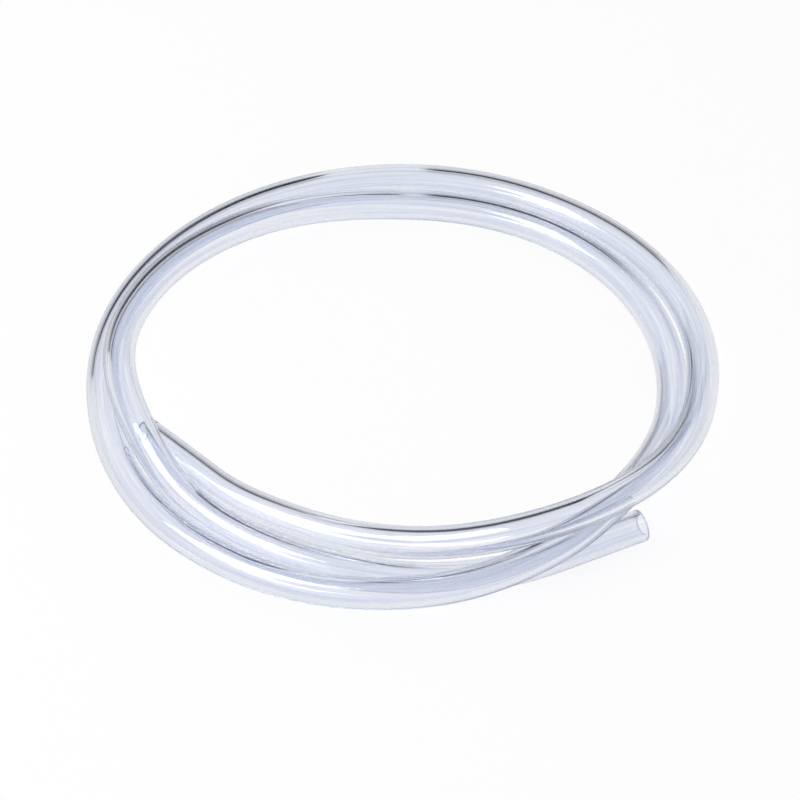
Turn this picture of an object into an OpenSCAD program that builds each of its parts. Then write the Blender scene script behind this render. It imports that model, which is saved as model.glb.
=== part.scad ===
// Clear siphon hose, coiled
//
// One length of soft clear vinyl hose, cut square at both ends, as it lies on a table in a
// loose coil of a little over two turns. Sizes are in millimetres, +Z is up, the table is
// Z = 0, and the coil stands over the origin.
//
// The hose is one piece. It is drawn in seven stretches that meet face to face, in the order
// in which it runs: the free end, five bent stretches that pass over and under each other,
// and the tucked end. A cane, a barb or a tap is pushed into either end.

/* [Hose] */
// Outside diameter of the hose
hose_od = 12.7; // [11:0.1:14]
// Thickness of the hose's wall
hose_wall = 2.4; // [1.2:0.1:3.2]

/* [Coil] */
// Diameter of the circle that the turns lie around
coil_d = 226; // [226:2:320]

/* [Ends] */
// Length of the straight free end, at the front
free_end_l = 37; // [20:1:48]
// Length of the straight end that is tucked under the first turn
tucked_end_l = 38; // [20:1:38]

/* [Hidden] */
bore_d = hose_od - 2 * hose_wall;
hose_color = [0.85, 0.88, 0.95, 0.6];

// The route starts at the free end and runs clockwise, seen from above. A place on it gives
// the degrees that the hose has turned by there, and two distances to the middle of the hose,
// in hose diameters: how far it lies outside the coil's circle, and how high above the table.
// On the table that height is 0.5. A stretch is a diameter or more from the ones it lies on.
start_angle = -60;

// flat on the table along the front, drifting in, then up at the left
tail_places = [[0, 0.2, 0.5], [20, 0, 0.5], [40, -0.3, 0.5], [60, -0.4, 0.5], [80, -0.3, 0.7]];
// over the tucked end, down the inside of the second turn, flat at the back and the right
first_turn_places = [
  [100, -0.2, 1.5], [120, -0.1, 1.6], [140, -0.3, 1.4], [170, -0.6, 1],
  [210, -0.8, 0.5], [260, -0.6, 0.5], [310, -0.4, 0.5],
];
// up, over the free end and the tail, and down in front of them
crossover_places = [
  [330, -0.2, 1], [345, 0.2, 1.5], [360, 0.6, 1.45], [380, 0.85, 1.1], [400, 0.75, 0.7],
];
// flat round the left and the back, then up the outside of the first turn
second_turn_places = [
  [420, 0.7, 0.5], [440, 0.7, 0.5], [470, 0.5, 0.5], [500, 0.5, 0.5], [600, 0.5, 0.5],
  [640, 0.5, 0.8], [670, 0.5, 1.3],
];
// over the crossover, and down to the table inside the tail
inner_run_places = [
  [700, 0.8, 2.3], [720, 0.6, 2.5], [740, -0.35, 1.7], [760, -1.3, 0.9], [780, -1.6, 0.6],
  [800, -1.4, 0.5],
];
places = concat(
  tail_places, first_turn_places, crossover_places, second_turn_places, inner_run_places
);

// Columns of a place
TURNED = 0;
OUTWARD = 1;
HEIGHT = 2;

// Where each stretch begins, in degrees turned
tail_at = tail_places[0][TURNED];
first_turn_at = first_turn_places[0][TURNED];
crossover_at = crossover_places[0][TURNED];
second_turn_at = second_turn_places[0][TURNED];
inner_run_at = inner_run_places[0][TURNED];
last_place = len(places) - 1;
tucked_end_at = places[last_place][TURNED];

// Flats around the bent hose, and the degrees between one cut along it and the next
hose_sides = 12;
cut_step = 10;

// Half the turn over which the hose's direction is taken
heading_reach = 0.02;

function unit(v) = v / norm(v);

// How much a column grows with each degree of turn, at place i. The hose is level at its ends.
function slope(column, i) =
  let (
    before = places[max(i - 1, 0)],
    after = places[min(i + 1, last_place)],
    level = column == HEIGHT && (i == 0 || i == last_place)
  )
  level ? 0 : (after[column] - before[column]) / (after[TURNED] - before[TURNED]);

// The value of a column after some degrees of turn, on a smooth curve through the places
function route_value(column, turned) =
  let (
    i = max([for (k = [0 : last_place - 1]) if (places[k][TURNED] <= turned) k]),
    span = places[i + 1][TURNED] - places[i][TURNED],
    t = (turned - places[i][TURNED]) / span,
    a = places[i][column],
    rise = places[i + 1][column] - a,
    leave = slope(column, i) * span,
    arrive = slope(column, i + 1) * span
  )
  a + t * (leave + t * (3 * rise - 2 * leave - arrive + t * (leave + arrive - 2 * rise)));

// The middle of the hose after some degrees of turn. It never sinks into the table.
function laid_point(turned) =
  let (
    angle = start_angle - turned,
    r = coil_d / 2 + hose_od * route_value(OUTWARD, turned)
  )
  [r * cos(angle), r * sin(angle), hose_od * max(0.5, route_value(HEIGHT, turned))];

// The hose's direction after some degrees of turn
function heading(turned) =
  unit(
    laid_point(min(turned + heading_reach, tucked_end_at))
    - laid_point(max(turned - heading_reach, 0))
  );

// The coil's outline in plan, and the shift that brings its middle over the origin
outline_points = concat(
  [laid_point(0) - free_end_l * heading(0)],
  [for (turned = [0 : cut_step : tucked_end_at]) laid_point(turned)],
  [laid_point(tucked_end_at) + tucked_end_l * heading(tucked_end_at)]
);
outline_x = [for (p = outline_points) p.x];
outline_y = [for (p = outline_points) p.y];
to_middle = -[max(outline_x) + min(outline_x), max(outline_y) + min(outline_y), 0] / 2;

function hose_point(turned) = laid_point(turned) + to_middle;

// Two directions square to the hose: level, and upward
function across(turned) = unit(cross(heading(turned), [0, 0, 1]));
function upward(turned) = cross(across(turned), heading(turned));

// A ring of points around the hose
function ring(turned, r) = [
  for (k = [0 : hose_sides - 1])
    let (a = 360 * k / hose_sides)
    hose_point(turned) + r * (cos(a) * across(turned) + sin(a) * upward(turned))
];

// The number of point k on ring i, in a list of rings
function ring_vertex(i, k) = i * hose_sides + k % hose_sides;

// The triangles between ring i and ring j
function ring_band(i, j) = [
  for (k = [0 : hose_sides - 1])
    each [
      [ring_vertex(i, k), ring_vertex(j, k), ring_vertex(j, k + 1)],
      [ring_vertex(i, k), ring_vertex(j, k + 1), ring_vertex(i, k + 1)],
    ]
];

// A bent, hollow stretch of hose. Its rings run along the outside and come back along the
// bore, so that one band after another closes the whole solid.
module bent_hose(from, to) {
  outside = [for (turned = [from : cut_step : to]) ring(turned, hose_od / 2)];
  bore = [for (turned = [to : -cut_step : from]) ring(turned, bore_d / 2)];
  rings = concat(outside, bore);
  polyhedron(
    points = [for (r = rings) each r],
    faces = [for (i = [0 : len(rings) - 1]) each ring_band(i, (i + 1) % len(rings))]
  );
}

// A straight, square-cut end that leaves the route after some degrees of turn.
// way is 1 where it runs on along the route, and -1 where it runs back.
module cut_end(turned, way, length) {
  x = across(turned);
  y = way * upward(turned);
  z = way * heading(turned);
  p = hose_point(turned);
  multmatrix([
    [x.x, y.x, z.x, p.x],
    [x.y, y.y, z.y, p.y],
    [x.z, y.z, z.z, p.z],
  ])
    rotate_extrude($fn = 96)
      translate([bore_d / 2, 0])
        square([hose_wall, length]);
}

module free_end() {
  color(hose_color) cut_end(tail_at, -1, free_end_l);
}

module tail() {
  color(hose_color) bent_hose(tail_at, first_turn_at);
}

module first_turn() {
  color(hose_color) bent_hose(first_turn_at, crossover_at);
}

module crossover() {
  color(hose_color) bent_hose(crossover_at, second_turn_at);
}

module second_turn() {
  color(hose_color) bent_hose(second_turn_at, inner_run_at);
}

module inner_run() {
  color(hose_color) bent_hose(inner_run_at, tucked_end_at);
}

module tucked_end() {
  color(hose_color) cut_end(tucked_end_at, 1, tucked_end_l);
}

free_end();
tail();
first_turn();
crossover();
second_turn();
inner_run();
tucked_end();
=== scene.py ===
# %% [markdown]
# # A clear siphon hose in a loose coil
#
# The object is one length of soft, clear vinyl hose, cut square at both ends and dropped on a
# table in a little over two turns. Nothing on it moves by itself and nothing is printed on it,
# so everything that makes it look real is optical: a round wall of clear plastic around a round
# bore of air, lying on a pale surface.
#
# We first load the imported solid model, which fixes the size and place of everything.

# %% Load the solid model
import math

import bpy
import numpy as np
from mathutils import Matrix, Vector


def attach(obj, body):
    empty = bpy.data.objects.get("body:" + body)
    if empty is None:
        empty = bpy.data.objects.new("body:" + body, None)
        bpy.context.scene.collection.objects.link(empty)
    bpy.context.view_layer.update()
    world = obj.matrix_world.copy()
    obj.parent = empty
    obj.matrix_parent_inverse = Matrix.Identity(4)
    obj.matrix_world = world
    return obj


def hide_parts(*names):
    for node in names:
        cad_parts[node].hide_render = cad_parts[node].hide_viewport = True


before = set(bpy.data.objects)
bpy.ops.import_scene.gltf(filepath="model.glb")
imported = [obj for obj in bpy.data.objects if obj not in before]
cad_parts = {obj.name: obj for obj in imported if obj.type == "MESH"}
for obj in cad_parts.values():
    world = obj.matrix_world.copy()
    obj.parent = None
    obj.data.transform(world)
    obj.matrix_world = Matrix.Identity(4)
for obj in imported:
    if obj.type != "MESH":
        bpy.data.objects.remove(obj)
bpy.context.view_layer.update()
print("solids:", sorted(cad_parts))

# %% [markdown]
# ## The hose and its route
#
# The hose is 1/2 inch outside with a 5/16 inch bore. It was coiled clockwise, seen from above,
# and the turns rest partly beside and partly on each other. A route like that is easiest to
# hold in the coil's own terms. A place on it says how many degrees the hose has turned by
# there, how far its middle lies outside the coil's circle, and how high it lies above the
# table, the last two in hose diameters. So a height of 0.5 is a hose flat on the table, and
# 1.5 is a hose on top of another. Places stand only where the hose does something.

# %% The hose's sizes and the places of its route
HOSE_D = 0.0127
WALL = 0.0024
BORE_D = HOSE_D - 2 * WALL
COIL_D = 0.226
FREE_END_L = 0.037
TUCKED_END_L = 0.038
START_ANGLE = -60

PLACES = np.array([
    # flat on the table along the front, drifting in, then up at the left
    [0, 0.2, 0.5], [20, 0, 0.5], [40, -0.3, 0.5], [60, -0.4, 0.5], [80, -0.3, 0.7],
    # over the tucked end, down the inside of the second turn, flat at the back and the right
    [100, -0.2, 1.5], [120, -0.1, 1.6], [140, -0.3, 1.4], [170, -0.6, 1],
    [210, -0.8, 0.5], [260, -0.6, 0.5], [310, -0.4, 0.5],
    # up, over the free end and the tail, and down in front of them
    [330, -0.2, 1], [345, 0.2, 1.5], [360, 0.6, 1.45], [380, 0.85, 1.1], [400, 0.75, 0.7],
    # flat round the left and the back, then up the outside of the first turn
    [420, 0.7, 0.5], [440, 0.7, 0.5], [470, 0.5, 0.5], [500, 0.5, 0.5], [600, 0.5, 0.5],
    [640, 0.5, 0.8], [670, 0.5, 1.3],
    # over the crossover, and down to the table inside the tail
    [700, 0.8, 2.3], [720, 0.6, 2.5], [740, -0.35, 1.7], [760, -1.3, 0.9], [780, -1.6, 0.6],
    [800, -1.4, 0.5],
])
ON_TABLE = 0.5
TURNED, OUTWARD, RAISED = PLACES.T
print("places:", len(PLACES), "turn:", TURNED[-1], "degrees")

# %% [markdown]
# ## From places to a centreline
#
# Clear plastic shows every kink in its own surface as a bent highlight, so the centreline has to
# be smooth twice over. A cubic curve runs through the places, leaving each with the slope
# between its two neighbours, and a short running average along it then takes out the small
# jumps in curvature that such a curve has at each place. The two cut ends run on straight.

# %% The centreline
TURN_STEP = 0.5
FINE_STEP = 0.001
SMOOTH = 0.006
STEP = 0.0022


def through_places(values, turned, level):
    """Cubic curve through the places. From value a to value a + rise, leaving with growth p
    and arriving with growth q over the span, it is
    a + t(p + t(3 rise - 2p - q + t(p + q - 2 rise))), with t from 0 to 1 along the span."""
    slope = np.empty(len(values))
    slope[1:-1] = (values[2:] - values[:-2]) / (TURNED[2:] - TURNED[:-2])
    ends = np.diff(values)[[0, -1]] / np.diff(TURNED)[[0, -1]]
    slope[[0, -1]] = 0 if level else ends
    i = np.clip(np.searchsorted(TURNED, turned, side="right") - 1, 0, len(values) - 2)
    span = TURNED[i + 1] - TURNED[i]
    t = (turned - TURNED[i]) / span
    a, rise = values[i], values[i + 1] - values[i]
    p, q = slope[i] * span, slope[i + 1] * span
    return a + t * (p + t * (3 * rise - 2 * p - q + t * (p + q - 2 * rise)))


def unit(v):
    """Each vector divided by its own length."""
    return v / np.linalg.norm(v, axis=-1, keepdims=True)


def distance_along(points):
    """For each point, the length of the line up to it."""
    return np.concatenate([[0], np.cumsum(np.linalg.norm(np.diff(points, axis=0), axis=1))])


def evenly(points, step):
    """Points on the same line at equal distances, as near to step as its length allows."""
    along = distance_along(points)
    where = np.linspace(0, along[-1], round(along[-1] / step) + 1)
    return np.stack([np.interp(where, along, points[:, k]) for k in range(3)], axis=1)


def running_average(points, width, step):
    """Each point becomes a bell-weighted mean of its neighbours, with the weight falling as
    exp(-(distance/width)^2). The line is run on straight at both ends first, so they stay."""
    reach = math.ceil(3 * width / step)
    k = np.arange(1, reach + 1)[:, None]
    before = points[0] + (points[0] - points[1]) * k[::-1]
    after = points[-1] + (points[-1] - points[-2]) * k
    line = np.concatenate([before, points, after])
    weight = np.exp(-((np.arange(-reach, reach + 1) * step / width) ** 2))
    weight /= weight.sum()
    return np.stack([np.convolve(line[:, k], weight, "valid") for k in range(3)], axis=1)


turned = np.arange(0, TURNED[-1] + TURN_STEP / 2, TURN_STEP)
angle = np.radians(START_ANGLE - turned)
radius = COIL_D / 2 + HOSE_D * through_places(OUTWARD, turned, level=False)
height = HOSE_D * np.maximum(ON_TABLE, through_places(RAISED, turned, level=True))
bends = np.stack([radius * np.cos(angle), radius * np.sin(angle), height], axis=1)
start = bends[0] + unit(bends[0] - bends[1]) * FREE_END_L
end = bends[-1] + unit(bends[-1] - bends[-2]) * TUCKED_END_L
end[2] = bends[-1][2]  # it lies level

route = np.concatenate([[start], bends, [end]])
# the middle of the coil's outline comes over the origin
route[:, :2] -= (route[:, :2].max(axis=0) + route[:, :2].min(axis=0)) / 2
smooth_route = running_average(evenly(route, FINE_STEP), SMOOTH, FINE_STEP)
centreline = evenly(smooth_route, STEP)

# %% [markdown]
# ## The camera
#
# The coil is seen from 44 degrees above the table and from 1.4 metres away through a long
# lens, which draws the near side only a little larger than the far one.

# %% Camera
VIEW_HEIGHT = math.radians(44)
VIEW_DISTANCE = 1.4
LENS = 158.5
SENSOR = 36
aim = Vector((-0.0008, -0.0064, 0))
toward = Vector((0, -math.cos(VIEW_HEIGHT), math.sin(VIEW_HEIGHT)))
camera = bpy.data.objects.new("camera", bpy.data.cameras.new("camera"))
bpy.context.collection.objects.link(camera)
camera.location = aim + VIEW_DISTANCE * toward
camera.rotation_euler = toward.to_track_quat("Z", "Y").to_euler()
camera.data.lens = LENS
camera.data.sensor_width = SENSOR
camera.data.clip_start, camera.data.clip_end = 0.1, 50
bpy.context.scene.camera = camera
print("camera at, m:", [round(v, 3) for v in camera.location])

# %% [markdown]
# ## The hose as one closed surface
#
# The hose is a profile carried along a path. One parameter goes round the hose. The other
# goes out along the outside, over the rounded edge of the cut, back along the bore, and over
# the edge at the other end, where it meets its own beginning. So the wall is one closed skin
# like a long thin ring, with air in the bore, and light bends at both of its faces as it does
# in the real hose. A plain tube with a thickness added to it would do too, but then the
# rounding of the cuts would be left to a bevel.

# %% The hose's surface
SIDES = 64
EDGE = 0.0002
CORNER = np.radians([22.5, 45, 67.5, 90])


def skin_walk(n):
    """The order of the rings on the skin of a line with n points: out along the outside, over
    one cut, back along the bore, over the other cut. For each ring, the number of its point on
    the line, and 1 where it belongs to a cut or 0 where it doesn't."""
    forth = np.arange(n)
    rim = 2 * len(CORNER)
    index = np.concatenate([forth, np.full(rim, n - 1), forth[::-1], np.zeros(rim, int)])
    on_cut = np.concatenate([np.zeros(n), np.ones(rim), np.zeros(n), np.ones(rim)])
    return index, on_cut


def ring_frames(line):
    """At each point the hose's heading, and two directions square to it: level, which is
    heading x up, and the other, which is level x heading."""
    heading = unit(np.gradient(line, axis=0))
    level = unit(np.cross(heading, [0.0, 0.0, 1.0]))
    return heading, level, np.cross(level, heading)


def hollow_tube(line, outside, bore, edge):
    """point(i, a) = c(i) + r(i) (cos a level(i) + sin a lift(i)), for each ring i of the walk.
    At a corner of a cut, b degrees round its quarter circle, the ring has moved on by
    edge sin b and in by edge (1 - cos b)."""
    heading, level, lift = ring_frames(line)
    n = len(line)
    index, _ = skin_walk(n)
    onward, inward = edge * np.sin(CORNER), edge * (1 - np.cos(CORNER))
    past = np.concatenate([onward, onward[::-1]])
    rim_r = np.concatenate([outside - inward, (bore + inward)[::-1]])
    shift = np.concatenate([np.zeros(n), past, np.zeros(n), -past])
    r = np.concatenate([np.full(n, outside), rim_r, np.full(n, bore), rim_r[::-1]])
    a = np.linspace(0, 2 * np.pi, SIDES, endpoint=False)
    centre = line[index] + shift[:, None] * heading[index]
    round_it = (np.cos(a)[None, :, None] * level[index][:, None]
                + np.sin(a)[None, :, None] * lift[index][:, None])
    return centre[:, None] + r[:, None, None] * round_it


def closed_grid_mesh(name, grid):
    """A mesh of four-sided faces over a grid of points that joins up with itself both ways."""
    rows, columns = grid.shape[:2]
    i, k = np.meshgrid(np.arange(rows), np.arange(columns), indexing="ij")
    j, m = (i + 1) % rows, (k + 1) % columns
    faces = np.stack([i * columns + k, j * columns + k, j * columns + m, i * columns + m], axis=-1)
    mesh = bpy.data.meshes.new(name)
    mesh.from_pydata(grid.reshape(-1, 3), [], faces.reshape(-1, 4).tolist())
    mesh.polygons.foreach_set("use_smooth", np.ones(len(mesh.polygons), bool))
    mesh.update()
    obj = bpy.data.objects.new(name, mesh)
    bpy.context.collection.objects.link(obj)
    return obj


hose = closed_grid_mesh("hose", hollow_tube(centreline, HOSE_D / 2, BORE_D / 2, EDGE))
print("hose:", len(hose.data.vertices), "points,", len(hose.data.polygons), "faces")

# %% [markdown]
# ## Where on the hose a point lies
#
# Marks on a hose run along it, and its cuts look unlike its sides, so the materials have to know
# where on the hose they are. Ordinary coordinates don't say that on a coil. So each point keeps
# two notes of its own: how far round and along the hose it lies, and whether it is on a cut.

# %% Notes for the materials
def round_and_along(line):
    """For each point of the skin (cos a, sin a, distance along the hose), where a is the angle
    round the hose."""
    along = distance_along(line)
    index, _ = skin_walk(len(line))
    a = np.linspace(0, 2 * np.pi, SIDES, endpoint=False)
    place = np.empty((len(index), SIDES, 3))
    place[..., 0], place[..., 1] = np.cos(a), np.sin(a)
    place[..., 2] = along[index][:, None]
    return place


def add_note(obj, name, kind, field, values):
    """Keep a value at each point of a piece, under a name that its material reads."""
    note = obj.data.attributes.new(name, kind, "POINT")
    note.data.foreach_set(field, values)
    print("note on", obj.name + ":", name)


_, on_cut = skin_walk(len(centreline))
add_note(hose, "round_and_along", "FLOAT_VECTOR", "vector", round_and_along(centreline).ravel())
add_note(hose, "cut", "FLOAT", "value", np.repeat(on_cut, SIDES))

# %% [markdown]
# ## Small helpers for shader trees
#
# The same few kinds of node come back in every tree, so each gets a short way to be written.
# An input may be a plain value, or another node's output, which is then linked.

# %% Helpers for shader trees
def add_node(tree, kind, inputs=None, **settings):
    """A new node with its settings made and its inputs filled."""
    node = tree.nodes.new("ShaderNode" + kind)
    for name, value in settings.items():
        setattr(node, name, value)
    fill_inputs(tree, node, inputs or {})
    return node


def fill_inputs(tree, node, inputs):
    """Each named input gets a plain value or a link."""
    for name, value in inputs.items():
        if isinstance(value, bpy.types.NodeSocket):
            tree.links.new(value, node.inputs[name])
        else:
            node.inputs[name].default_value = value


def math_node(tree, operation, *values):
    """The output of a Math node."""
    return add_node(tree, "Math", dict(enumerate(values)), operation=operation).outputs[0]


def mixed_colour(tree, share, first, second):
    """The first colour where the share is 0, the second where it is 1."""
    inputs = {"Factor": share, "A": first, "B": second}
    return add_node(tree, "Mix", inputs, data_type="RGBA").outputs["Result"]


def mixed_shader(tree, share, first, second):
    """The first shader where the share is 0, the second where it is 1."""
    return add_node(tree, "MixShader", {0: share, 1: first, 2: second}).outputs[0]


# %% [markdown]
# ## Lines from the die
#
# Hose is pushed hot through a ring-shaped die, and each small mark on the die draws a faint
# line that runs on along the hose for a long way. On clear plastic these lines are what keeps
# a highlight from looking like glass. They could be modelled, but they are only thousandths of
# a millimetre deep. So a noise that is fine round the hose and very slow along it reads the
# hose's own coordinates, and gives the lines to the material.

# %% Die lines as a node group
def die_lines(fineness, drift):
    """A node group with a value from 0 to 1: noise at (cos a, sin a) times Fineness, and at the
    distance along times Drift."""
    group = bpy.data.node_groups.new("die_lines", "ShaderNodeTree")
    for name, value in (("Fineness", fineness), ("Drift", drift)):
        socket = group.interface.new_socket(name, in_out="INPUT", socket_type="NodeSocketFloat")
        socket.default_value = value
    group.interface.new_socket("Line", in_out="OUTPUT", socket_type="NodeSocketFloat")
    given = group.nodes.new("NodeGroupInput").outputs
    result = group.nodes.new("NodeGroupOutput")
    place = add_node(group, "Attribute", attribute_name="round_and_along")
    scale = add_node(group, "CombineXYZ",
                     {"X": given["Fineness"], "Y": given["Fineness"], "Z": given["Drift"]})
    stretched = add_node(group, "VectorMath", {0: place.outputs["Vector"], 1: scale.outputs[0]},
                         operation="MULTIPLY")
    noise = add_node(group, "TexNoise", {"Vector": stretched.outputs["Vector"], "Scale": 1,
                                         "Detail": 3, "Roughness": 0.65})
    # the noise seldom leaves its middle third, so that third is spread over 0 to 1
    spread = add_node(group, "MapRange", {"Value": noise.outputs["Fac"], "From Min": 0.35,
                                          "From Max": 0.65})
    group.links.new(spread.outputs["Result"], result.inputs["Line"])
    return group


lines_group = die_lines(fineness=4, drift=9)
print("node group:", lines_group.name, "nodes:", len(lines_group.nodes))

# %% [markdown]
# ## Clear vinyl
#
# Soft PVC bends light a little more than window glass and is very slightly blue-violet where it
# is thick. The colour could sit on the surface alone, but then a thick wall would be no deeper
# than a thin one, so most of it is absorption inside the wall. The hose is glossy where the die
# drew it and matt where a knife cut it, so the cut faces look pale. For shadows the plastic
# counts as a thin filter, because light that is bent twice rarely finds a lamp.

# %% Clear vinyl material
GLOSS = 0.01
VINYL_IOR = 1.53
CLEAREST = (1.0, 1.0, 1.0, 1)
CLOUDIEST = (0.82, 0.85, 0.93, 1)
LINE_DEPTH = 0.0000015
CUT_MATT = 0.6
CUT_COLOUR = (0.8, 0.83, 0.9, 1)
SHADOW_FILTER = (0.95, 0.95, 0.97, 1)
TINT = (0.16, 0.24, 0.48, 1)
TINT_DENSITY = 27

vinyl = bpy.data.materials.new("clear_vinyl")
vinyl.use_nodes = True
tree = vinyl.node_tree
line = add_node(tree, "Group", node_tree=lines_group).outputs["Line"]
ridge = add_node(tree, "Bump", {"Strength": 1, "Distance": LINE_DEPTH, "Height": line})
plastic = tree.nodes["Principled BSDF"]
fill_inputs(tree, plastic, {
    "Base Color": mixed_colour(tree, line, CLOUDIEST, CLEAREST),
    "Roughness": GLOSS,
    "IOR": VINYL_IOR,
    "Transmission Weight": 1,
    "Normal": ridge.outputs["Normal"],
})

cut_note = add_node(tree, "Attribute", attribute_name="cut").outputs["Fac"]
cut_share = math_node(tree, "MULTIPLY", cut_note, CUT_MATT)
matt_cut = add_node(tree, "BsdfDiffuse", {"Color": CUT_COLOUR}).outputs[0]
body = mixed_shader(tree, cut_share, plastic.outputs[0], matt_cut)
shadow_filter = add_node(tree, "BsdfTransparent", {"Color": SHADOW_FILTER}).outputs[0]
is_shadow = add_node(tree, "LightPath").outputs["Is Shadow Ray"]
tint = add_node(tree, "VolumeAbsorption", {"Color": TINT, "Density": TINT_DENSITY})
fill_inputs(tree, tree.nodes["Material Output"], {
    "Surface": mixed_shader(tree, is_shadow, body, shadow_filter),
    "Volume": tint.outputs[0],
})
hose.data.materials.append(vinyl)
print("material:", vinyl.name)

# %% Say what the piece is
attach(hose, "root")
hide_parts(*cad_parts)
print("the hose stands for", len(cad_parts), "solids")

# %% [markdown]
# ## The table
#
# A smooth white sheet lies under the hose. White paper would still come out a little grey, so
# where the camera, a reflection or the view through the plastic meets it, it is mostly a plain
# white of strength 1. The rest stays matt, which keeps the shadow. Seen very flat, as the
# wall of the hose sees it, such a sheet turns into a mirror: the share that is mirrored grows
# with the third power of how far the sheet is turned away.

# %% Table
TABLE_SIZE = 6
PAPER = (0.9, 0.9, 0.9, 1)
PAPER_ROUGHNESS = 0.9
WHITE_SHARE = 0.85
MIRROR_ROUGHNESS = 0.03
MIRROR_POWER = 3

bpy.ops.mesh.primitive_plane_add(size=TABLE_SIZE, location=(0, 0, 0))
table = bpy.context.object
table.name = "table"
sheet = bpy.data.materials.new("white_sheet")
sheet.use_nodes = True
tree = sheet.node_tree
matt = tree.nodes["Principled BSDF"]
fill_inputs(tree, matt, {"Base Color": PAPER, "Roughness": PAPER_ROUGHNESS})
white = add_node(tree, "Emission")
mirror = add_node(tree, "BsdfGlossy", {"Roughness": MIRROR_ROUGHNESS})
turned_away = add_node(tree, "LayerWeight").outputs["Facing"]

ray = add_node(tree, "LightPath").outputs
direct = math_node(tree, "MAXIMUM", ray["Is Camera Ray"], ray["Is Glossy Ray"])
seen = math_node(tree, "MAXIMUM", direct, ray["Is Transmission Ray"])
white_share = math_node(tree, "MULTIPLY", seen, WHITE_SHARE)
paper = mixed_shader(tree, white_share, matt.outputs[0], white.outputs[0])
graze = math_node(tree, "POWER", turned_away, MIRROR_POWER)
not_camera = math_node(tree, "SUBTRACT", 1, ray["Is Camera Ray"])
mirror_share = math_node(tree, "MULTIPLY", graze, not_camera)
surface = mixed_shader(tree, mirror_share, paper, mirror.outputs[0])
tree.links.new(surface, tree.nodes["Material Output"].inputs["Surface"])
table.data.materials.append(sheet)
print("table:", TABLE_SIZE, "m across")

# %% [markdown]
# ## The studio
#
# Clear things have no shade of their own. Their edges are drawn by standing black cards in a
# white studio: each wall of the hose bends the view sideways and picks a card up as a thin dark
# line. Here the studio is the world itself, white all round, and each card is a
# part of it between two bearings and two heights. Bearings count from the right, with 90 degrees
# straight behind the coil. Two low cards behind the coil, with a gap between them, are what the
# walls pick up. A small high one takes the white reflection off the outside of the hose just
# where the line runs, so that the line is truly black. On matt things the studio shines dimmed.
# The softbox gives them the rest, so a colour comes out about as it is written.

# %% Studio with black cards
CARDS = {  # first and last bearing, bottom and top, in degrees
    "low right": (70, 88.5, 3, 27),
    "low left": (95, 136, -1, 30),
    "high": (85, 93.5, 44, 60),
}
SIDE_BLUR = 0.6
TOP_BLUR = 2
BLACK = (0.01, 0.01, 0.03, 1)
WHITE = (1.0, 1.0, 1.0, 1)
DIMMED = (0.6, 0.6, 0.6, 1)

world = bpy.data.worlds.new("studio")
bpy.context.scene.world = world
world.use_nodes = True
tree = world.node_tree


def soft_step(value, place, blur):
    """0 below the place, 1 above it, and for a negative blur the other way round. It rises
    smoothly over a stretch of blur to either side."""
    node = add_node(tree, "MapRange", {"Value": value, "From Min": place - blur,
                                       "From Max": place + blur},
                    interpolation_type="SMOOTHSTEP")
    return node.outputs["Result"]


def inside(value, low, high, blur):
    """1 where the value lies between low and high, 0 elsewhere."""
    return math_node(tree, "MULTIPLY", soft_step(value, low, blur), soft_step(value, high, -blur))


look = add_node(tree, "TexCoord").outputs["Generated"]
east, north, up = add_node(tree, "SeparateXYZ", {0: look}).outputs
bearing = math_node(tree, "DEGREES", math_node(tree, "ARCTAN2", north, east))
above = math_node(tree, "DEGREES", math_node(tree, "ARCSINE", up))

cards = None
for first, last, bottom, top in CARDS.values():
    sideways = inside(bearing, first, last, SIDE_BLUR)
    upright = inside(above, bottom, top, TOP_BLUR)
    card = math_node(tree, "MULTIPLY", sideways, upright)
    cards = card if cards is None else math_node(tree, "MAXIMUM", cards, card)

ray = add_node(tree, "LightPath").outputs
mirrored = math_node(tree, "MAXIMUM", ray["Is Glossy Ray"], ray["Is Transmission Ray"])
studio = mixed_colour(tree, mirrored, DIMMED, mixed_colour(tree, cards, WHITE, BLACK))
studio = mixed_colour(tree, ray["Is Camera Ray"], studio, WHITE)
tree.links.new(studio, tree.nodes["Background"].inputs["Color"])
print("black cards:", ", ".join(CARDS))

# %% [markdown]
# ## The softbox
#
# One large square lamp above and to the left draws the bright streaks that run along the hose.
# A round or smaller one would give dots and thin lines instead.

# %% Softbox
def softbox(name, place, size, power):
    """A square lamp at a place, turned to face the middle of the coil."""
    lamp = bpy.data.objects.new(name, bpy.data.lights.new(name, "AREA"))
    lamp.data.size = size
    lamp.data.energy = power
    lamp.location = place
    lamp.rotation_euler = Vector(place).to_track_quat("Z", "Y").to_euler()
    bpy.context.collection.objects.link(lamp)
    return lamp


main_light = softbox("softbox", place=(-0.86, -0.24, 1.2), size=0.7, power=12)
bpy.context.scene.view_settings.view_transform = "Standard"
print("softbox at, m:", [round(v, 2) for v in main_light.location])
